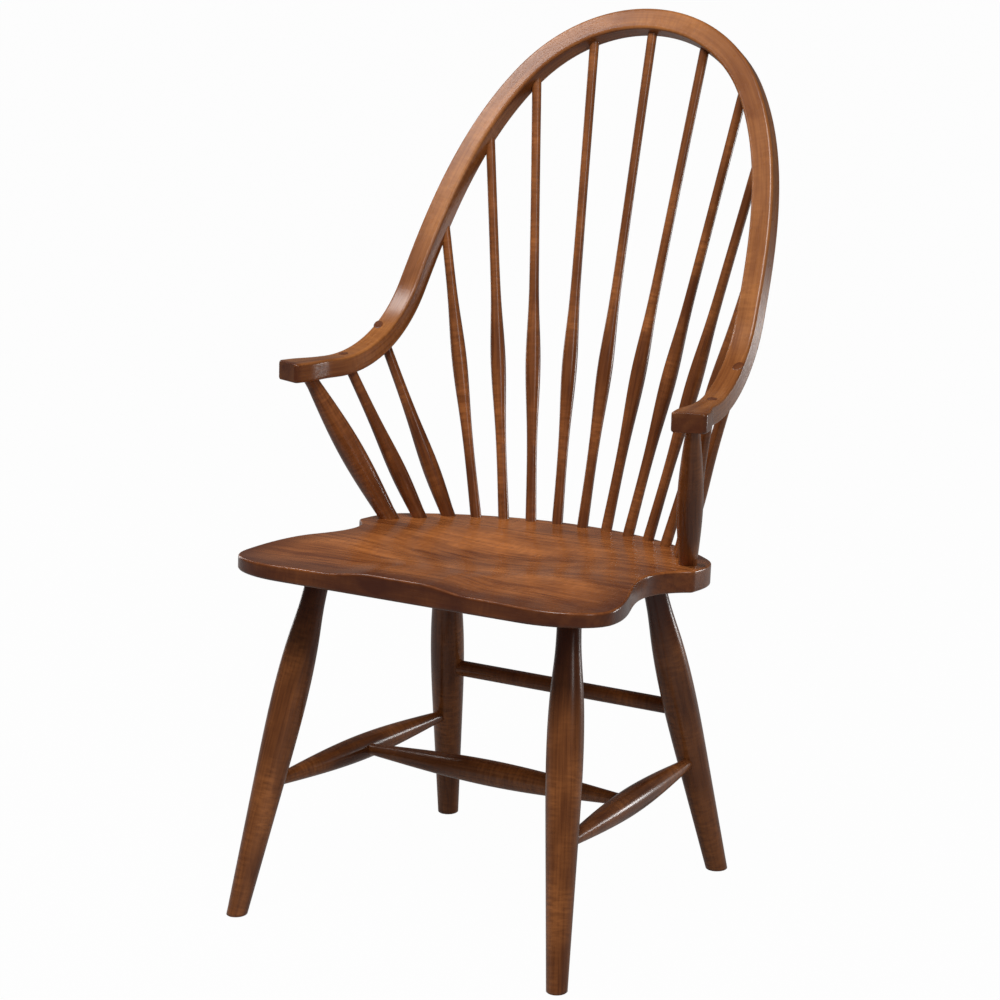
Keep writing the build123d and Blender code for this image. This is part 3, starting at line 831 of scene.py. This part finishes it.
class WINDSOR_OT_seat(bpy.types.Operator):
    """Build the hollowed plank seat"""

    bl_idname = "windsor.seat"
    bl_label = "Seat"

    def execute(self, context):
        s = settings().seat
        outline = seat_outline(OUTLINE_SPACING)
        count = len(outline)
        steps = np.linspace(0, math.pi / 2, 6)
        rows, heights, edges = [], [], []
        for turn_by in steps:
            rows.append(inset(outline, s.rim * (1 - math.sin(turn_by))))
            heights.append(np.full(count, -s.thickness + s.rim * (1 - math.cos(turn_by))))
            edges.append(np.full(count, math.sin(2 * turn_by) * 0.5))
        top = -seat_drop(*outline.T)
        for part in (0.1, 0.35, 0.65, 0.9):
            rows.append(outline)
            heights.append((-s.thickness + s.rim) * (1 - part) + (top - s.rim) * part)
            edges.append(np.zeros(count))
        for turn_by in steps:
            drawn = inset(outline, s.rim * (1 - math.cos(turn_by)))
            rows.append(drawn)
            heights.append(-seat_drop(*drawn.T) - s.rim * (1 - math.sin(turn_by)))
            edges.append(np.full(count, math.sin(2 * turn_by)))
        rim = rows[-1]
        guard = inset(outline, s.rim + 0.0015)
        spacing = DECK_SPACING
        grid = np.stack(np.meshgrid(
            np.arange(-s.wing_half_width, s.wing_half_width, spacing),
            np.arange(-s.front, s.rear, spacing)), -1).reshape(-1, 2)
        grid[:, 0] += 0.5 * spacing * (np.round((grid[:, 1] + s.front) / spacing) % 2)
        far = nearest_distance(grid, outline) > s.rim + 0.004
        inside = np.array([winding(point, outline) for point in grid])
        inner = np.concatenate([guard, grid[far & inside]])
        points = [Vector(p) for p in np.concatenate([rim, inner])]
        loop = [(i, (i + 1) % count) for i in range(count)]
        flat_points, _, triangles, origin, _, _ = delaunay_2d_cdt(points, loop, [], 1, 1e-7)
        if len(flat_points) != len(points):
            raise RuntimeError("the seat's top met two points in one place")
        order = np.array([found[0] for found in origin])
        inner_places = np.concatenate([rim, inner])[count:]
        ring_rows = len(rows)
        walls = np.concatenate(rows)
        places = np.concatenate([walls, inner_places, inner_places])
        top_inner = -seat_drop(*inner_places.T)
        bottom_inner = np.full(len(inner_places), -s.thickness)
        height = np.concatenate([*heights, top_inner, bottom_inner])
        vertices = deck_point(places[:, 0], places[:, 1], height)
        faces = tube_faces(ring_rows, count)
        top_start, bottom_start = len(walls), len(walls) + len(inner_places)
        for triangle in triangles:
            corners = [order[i] for i in triangle]
            faces.append(tuple(
                (ring_rows - 1) * count + c if c < count else top_start + c - count for c in corners
            ))
            faces.append(tuple(c if c < count else bottom_start + c - count for c in reversed(corners)))
        grain = np.stack([height + 0.02, places[:, 1], places[:, 0] + SEAT_APART], 1)
        # Marks of the rounded rims, which the material paints lighter as a highlight
        edge = np.concatenate([*edges, np.zeros(2 * len(inner_places))])
        margin = nearest_distance(places, outline)
        front = smooth(-places[:, 1], -0.02, 0.20)
        sides = smooth(np.abs(places[:, 0]), 0.12, 0.25)
        near = 1 - smooth(margin, 0.0, SEAT_TONER_WIDTH)
        toner_and_shade = SEAT_TONER * near * np.clip(front + 0.35 * sides, 0, 1)
        below_rim = np.zeros(len(places))
        below_rim[:len(walls) - (len(steps) - 1) * count] = 1
        toner_and_shade = np.maximum(toner_and_shade, WALL_TONER * below_rim)
        piece = make_piece("seat_plank", vertices, faces, grain, seat_wood(), edge, toner_and_shade)
        place_piece(piece, "seat")
        return {"FINISHED"}


def winding(point, outline):
    """Whether a point lies inside a closed outline."""
    a, b = outline, np.roll(outline, -1, 0)
    crosses = (a[:, 1] > point[1]) != (b[:, 1] > point[1])
    a, b = a[crosses], b[crosses]
    meets = (b[:, 0] - a[:, 0]) * (point[1] - a[:, 1]) / (b[:, 1] - a[:, 1]) + a[:, 0]
    return bool((meets > point[0]).sum() % 2)


class WINDSOR_OT_bow(bpy.types.Operator):
    """Build the bent rail with its two flared hands"""

    bl_idname = "windsor.bow"
    bl_label = "Bow"

    def execute(self, context):
        bow = settings().bow
        total = rail_line()[0][-1]
        round_start = total - bow.hand_round
        places = np.concatenate([
            np.arange(0, round_start, RAIL_SPACING),
            round_start + bow.hand_round * np.sin(np.linspace(0, math.asin(HAND_ROUND_SHARE), 8)),
        ])
        flat, ways = rail_at(places)
        turns = bow.hand_turn * smooth(places, total - bow.flare_length, total)
        c, s = np.cos(turns), np.sin(turns)
        ways = np.stack([ways[:, 0] * c - ways[:, 1] * s, ways[:, 0] * s + ways[:, 1] * c], 1)
        ways /= np.linalg.norm(ways, axis=1)[:, None]
        thickness = rail_thickness(flat[:, 1])
        widths = bow.width + (bow.hand_width - bow.width) * smooth(
            -flat[:, 1], bow.flare_start, bow.flare_start + bow.flare_length
        )
        past = np.clip(places - round_start, 0, bow.hand_round * HAND_ROUND_SHARE)
        cut = bow.hand_round - np.sqrt(bow.hand_round ** 2 - past ** 2)
        normal = face_normal(flat[:, 1])
        middle = face_point(flat[:, 1]) - normal * (thickness / 2)[:, None]
        middle[:, 0] += flat[:, 0]
        lift = face_angle(flat[:, 1])
        across = np.stack([ways[:, 1], -ways[:, 0] * np.cos(lift), -ways[:, 0] * np.sin(lift)], 1)
        rows, grain_rows, marks = [], [], None
        for i in range(len(places)):
            offsets, marks = rounded_section(widths[i] - 2 * cut[i], thickness[i] - 0.5 * cut[i], bow.edge)
            rows.append(middle[i] + offsets[:, :1] * across[i] + offsets[:, 1:] * normal[i])
            along = np.full(len(offsets), places[i])
            grain_rows.append(np.column_stack([offsets[:, 1], offsets[:, 0], along]))
        mirrored = [row * (-1, 1, 1) for row in rows[:0:-1]]
        mirrored_grain = [row * (1, 1, -1) for row in grain_rows[:0:-1]]
        points = np.array(mirrored + rows)
        columns = points.shape[1]
        faces = tube_faces(len(points), columns)
        last = (len(points) - 1) * columns
        faces.append(tuple(range(columns - 1, -1, -1)))
        faces.append(tuple(range(last, last + columns)))
        grain = np.concatenate(mirrored_grain + grain_rows) + (0, 0, BOW_APART)
        # Marks of the rounded edges, which the material paints lighter as a highlight
        edge = np.tile(marks, len(points))
        from_end = total - np.abs(np.concatenate([places[:0:-1], places]))
        end_toner = HAND_END_TONER * (1 - smooth(from_end, 0.0, HAND_END_FADE))
        toner_and_shade = np.repeat(end_toner + HAND_TONER * (1 - smooth(from_end, 0.0, HAND_FADE)), columns)
        piece = make_piece("bow_rail", points.reshape(-1, 3), faces, grain, bow_wood(), edge, toner_and_shade,
                           flat=[len(faces) - 1, len(faces) - 2])
        place_piece(piece, "bow")
        return {"FINISHED"}


class WINDSOR_OT_legs(bpy.types.Operator):
    """Turn the four legs and saw them level at the floor"""

    bl_idname = "windsor.legs"
    bl_label = "Legs"

    def execute(self, context):
        t = settings().turning

        def to_floor(points, way):
            return -points[:, 2] / way[2]

        for seed, ((end, side), (low, high)) in enumerate(leg_lines().items(), 1):
            way = unit(low - high)
            # Each leg is painted darker just below the seat: painted shade under the seat, with some toner
            piece = turn(
                f"leg_turning_{end}_{side}", high, high + way * LEG_TURNING[-1][0], LEG_TURNING,
                t.leg_tenon, 0.02, turned_wood(), seed, trim=to_floor,
                toner_and_shade=lambda distance: LEG_PAINTED_SHADE * (1 - smooth(distance, *LEG_PAINTED_SHADE_FADE)),
            )
            place_piece(piece, f"leg_{end}_{side}")
        return {"FINISHED"}


class WINDSOR_OT_stretchers(bpy.types.Operator):
    """Turn the two side stretchers, the cross stretcher and the rear stretcher"""

    bl_idname = "windsor.stretchers"
    bl_label = "Stretchers"

    def execute(self, context):
        t = settings().turning
        for seed, (name, (start, stop)) in enumerate(stretcher_lines().items(), 11):
            total = np.linalg.norm(stop - start)
            if name == "back":
                stations = ((0, REAR_RADIUS), (total, REAR_RADIUS))
            else:
                end_radius, belly = CROSS_RADII if name == "cross" else SIDE_RADII
                land = CROSS_LAND if name == "cross" else LEG_LAND
                stations = ((land, end_radius), (total / 2, belly), (total - land, end_radius))
            piece = turn(f"stretcher_turning_{name}", start, stop, stations, t.past_axis, t.past_axis,
                         turned_wood(), seed)
            place_piece(piece, f"stretcher_{name}")
        return {"FINISHED"}


class WINDSOR_OT_spindles(bpy.types.Operator):
    """Turn the nine back spindles"""

    bl_idname = "windsor.spindles"
    bl_label = "Back spindles"

    def execute(self, context):
        t = settings().turning
        heads = np.concatenate([[0], np.cumsum(SPINDLE_GAPS)])
        for number in range(-4, 5):
            turned_by = t.pitch * number
            foot = deck_point(t.arc_radius * math.sin(turned_by),
                              t.arc_behind - t.arc_radius * (1 - math.cos(turned_by)))
            flat, _ = rail_at(heads[abs(number)])
            head = on_rail(math.copysign(flat[0], number), flat[1], rail_thickness(flat[1]) / 2)
            way = unit(head - foot)
            end = head - way * t.head_depth
            stations = (*SPINDLE_TURNING, (np.linalg.norm(end - foot) - MOUTH_LAND, SPINDLE_HEAD))
            piece = turn(f"spindle_turning_{number + 5}", foot, end, stations, t.deck_tenon, t.head_depth,
                         turned_wood(), 21 + number + 4)
            place_piece(piece, f"back_spindle_{number + 5}")
        return {"FINISHED"}


class WINDSOR_OT_arm_supports(bpy.types.Operator):
    """Turn the arm spindles, which come through the arms, and the arm posts"""

    bl_idname = "windsor.arm_supports"
    bl_label = "Arm spindles and posts"

    def execute(self, context):
        t, bow = settings().turning, settings().bow
        seed = 41
        for side, sign in SIDES.items():
            for which, foot, head in zip(("front", "back"), ARM_SPINDLE_FEET, ARM_SPINDLE_HEADS):
                foot = deck_point(sign * foot[0], foot[1])
                top = on_rail(sign * head[0], head[1], 0)
                end = top - unit(top - foot) * (bow.arm_thickness + MOUTH_LAND)
                stations = (*ARM_SPINDLE_TURNING, (np.linalg.norm(end - foot), ARM_SPINDLE_HEAD))

                def to_face(points, way, run=head[1]):
                    normal = face_normal(run)
                    below = (face_point(run) - points)[:, 1:] @ normal[1:]
                    if run > 0:
                        centre = face_point(run) + normal * bow.bend_radius
                        below = np.linalg.norm((points - centre)[:, 1:], axis=1) - bow.bend_radius
                    return (below + t.proud) / (way @ normal)

                piece = turn(f"arm_spindle_turning_{side}_{which}", foot, end, stations, t.deck_tenon,
                             bow.arm_thickness + MOUTH_LAND, turned_wood(), seed, trim=to_face)
                end_grain(piece)
                place_piece(piece, f"arm_spindle_{side}_{which}")
                seed += 1
            foot = deck_point(sign * ARM_POST_FOOT[0], ARM_POST_FOOT[1])
            breadth, run = ARM_POST_PLACE
            under = on_rail(sign * breadth, run, float(rail_thickness(run)))
            stations = (*ARM_POST_TURNING, (np.linalg.norm(under - foot) - MOUTH_LAND, ARM_POST_HEAD))
            piece = turn(f"arm_post_turning_{side}", foot, under, stations, t.deck_tenon, t.post_tenon,
                         turned_wood(), seed)
            place_piece(piece, f"arm_post_{side}")
            seed += 1
        return {"FINISHED"}


def end_grain(piece):
    """Toner soaks into the end of a through tenon."""
    mesh = piece.data
    values = np.zeros(len(mesh.vertices), np.float32)
    values[-(CAP_ROWS + 1) * TURN_COLUMNS:] = END_GRAIN_TONER
    mesh.attributes["toner_and_shade"].data.foreach_set("value", values)


class WINDSOR_OT_stage(bpy.types.Operator):
    """Set the floor, the lamps, the even light and the camera"""

    bl_idname = "windsor.stage"
    bl_label = "Stage"

    def execute(self, context):
        stage = settings().stage
        scene = context.scene
        scene.view_settings.view_transform = "Standard"
        build_floor(stage)
        build_world(scene, stage)
        aim = (0, -settings().seat.ahead, 0.6)
        add_lamp("key lamp", (0.3, -1.5, 3.2), aim, (1.4, 1.2), stage.key)
        add_lamp("side lamp", (-1.15, -0.40, 2.15), aim, (0.5, 0.5), stage.side)
        add_lamp("left strip lamp", (-2.3, 0.9, 0.95), aim, (0.35, 1.8), stage.left_strip)
        add_lamp("right strip lamp", (2.3, -0.75, 1.75), aim, (0.35, 1.2), stage.right_strip)
        add_lamp("low lamp", (1.5, 2.1, 0.36), (0, -0.1, 0.2), (0.5, 0.35), stage.low)
        build_camera(scene, stage)
        return {"FINISHED"}


def build_floor(stage):
    """A wide pale floor that keeps the chair's shadow and looks white to the camera."""
    count, radius = 96, 40.0
    turns = np.arange(count) * 2 * np.pi / count
    rings = [radius * part for part in (0.02, 0.1, 1.0)]
    vertices = [(0, 0, 0)] + [(r * math.cos(a), r * math.sin(a), 0) for r in rings for a in turns]
    faces = [(0, 1 + i, 1 + (i + 1) % count) for i in range(count)]
    for ring in range(len(rings) - 1):
        for i in range(count):
            a, b = 1 + ring * count + i, 1 + ring * count + (i + 1) % count
            faces.append((a, a + count, b + count, b))
    mesh = bpy.data.meshes.new("floor")
    mesh.from_pydata(vertices, [], faces)
    material = bpy.data.materials.new("pale floor")
    material.use_nodes = True
    tree = material.node_tree
    tree.nodes.remove(tree.nodes["Principled BSDF"])
    rays = add_node(tree, "ShaderNodeLightPath").outputs
    seen = math_node(tree, "MULTIPLY_ADD", rays["Is Glossy Ray"], 0.15, rays["Is Camera Ray"], clamp=True)
    seen = math_node(tree, "ADD", seen, rays["Is Transmission Ray"], clamp=True)
    pale = add_node(tree, "ShaderNodeBsdfDiffuse", {"Color": (*stage.floor, 1)}).outputs[0]
    white = add_node(tree, "ShaderNodeEmission", {"Color": (1, 1, 1, 1), "Strength": 1.0}).outputs[0]
    factor = math_node(tree, "MULTIPLY", seen, 0.98)
    mixed = add_node(tree, "ShaderNodeMixShader", {0: factor, 1: pale, 2: white})
    tree.links.new(mixed.outputs[0], tree.nodes["Material Output"].inputs["Surface"])
    mesh.materials.append(material)
    floor = bpy.data.objects.new("floor", mesh)
    bpy.context.scene.collection.objects.link(floor)


def build_world(scene, stage):
    """Even white light, pure white where the camera sees it."""
    world = bpy.data.worlds.new("studio")
    world.use_nodes = True
    tree = world.node_tree
    rays = add_node(tree, "ShaderNodeLightPath").outputs
    even = tree.nodes["Background"]
    even.inputs["Color"].default_value = (1, 1, 1, 1)
    even.inputs["Strength"].default_value = stage.world
    white = add_node(tree, "ShaderNodeBackground", {"Color": (1, 1, 1, 1), "Strength": 1.0}).outputs[0]
    mixed = add_node(tree, "ShaderNodeMixShader", {0: rays["Is Camera Ray"], 1: even.outputs[0], 2: white})
    tree.links.new(mixed.outputs[0], tree.nodes["World Output"].inputs["Surface"])
    scene.world = world


def add_lamp(name, place, aim, size, power):
    """A soft rectangular lamp that faces a point."""
    data = bpy.data.lights.new(name, "AREA")
    data.shape, data.size, data.size_y, data.energy = "RECTANGLE", *size, power
    lamp = bpy.data.objects.new(name, data)
    lamp.location = place
    lamp.rotation_euler = (Vector(aim) - Vector(place)).to_track_quat("-Z", "Y").to_euler()
    bpy.context.scene.collection.objects.link(lamp)


def build_camera(scene, stage):
    """The camera at the picture's angle."""
    a, e = stage.azimuth, stage.elevation
    right = Vector((math.cos(a), math.sin(a), 0))
    back = Vector((math.sin(a) * math.cos(e), -math.cos(a) * math.cos(e), math.sin(e)))
    up = back.cross(right)
    data = bpy.data.cameras.new("camera")
    data.lens, data.sensor_width = stage.lens, 36
    camera = bpy.data.objects.new("camera", data)
    turn_matrix = Matrix((right, up, back)).transposed().to_4x4()
    place = Vector((0, -settings().seat.ahead, stage.aim_height))
    place += right * stage.aim_right + up * stage.aim_up + back * stage.distance
    camera.matrix_world = Matrix.Translation(place) @ turn_matrix
    scene.collection.objects.link(camera)
    scene.camera = camera


class WINDSOR_PT_panel(bpy.types.Panel):
    """Lists the chair's operators and main settings"""

    bl_idname = "WINDSOR_PT_panel"
    bl_label = "Windsor armchair"
    bl_space_type = "VIEW_3D"
    bl_region_type = "UI"
    bl_category = "Windsor"

    def draw(self, context):
        for operator in OPERATORS:
            self.layout.operator(operator.bl_idname)
        for group in ("seat", "bow", "turning", "finish", "stage"):
            box = self.layout.box()
            box.label(text=group.capitalize())
            values = getattr(context.scene.windsor, group)
            for key in values.bl_rna.properties.keys():
                if key not in ("rna_type", "name"):
                    box.prop(values, key)


OPERATORS = (
    WINDSOR_OT_seat, WINDSOR_OT_bow, WINDSOR_OT_legs, WINDSOR_OT_stretchers, WINDSOR_OT_spindles,
    WINDSOR_OT_arm_supports, WINDSOR_OT_stage,
)
CLASSES = (
    SeatSizes, BowSizes, TurningSizes, FinishSettings, StageSettings, WindsorSettings,
    *OPERATORS, WINDSOR_PT_panel,
)


def register():
    """Add the classes and the settings."""
    for one in CLASSES:
        bpy.utils.register_class(one)
    bpy.types.Scene.windsor = PointerProperty(type=WindsorSettings)


def unregister():
    """Take the settings and the classes out again."""
    del bpy.types.Scene.windsor
    for one in reversed(CLASSES):
        bpy.utils.unregister_class(one)


def main():
    """Build the chair and its stage."""
    register()
    bpy.ops.windsor.seat()
    bpy.ops.windsor.bow()
    bpy.ops.windsor.legs()
    bpy.ops.windsor.stretchers()
    bpy.ops.windsor.spindles()
    bpy.ops.windsor.arm_supports()
    bpy.ops.windsor.stage()


if __name__ == "__main__":
    main()
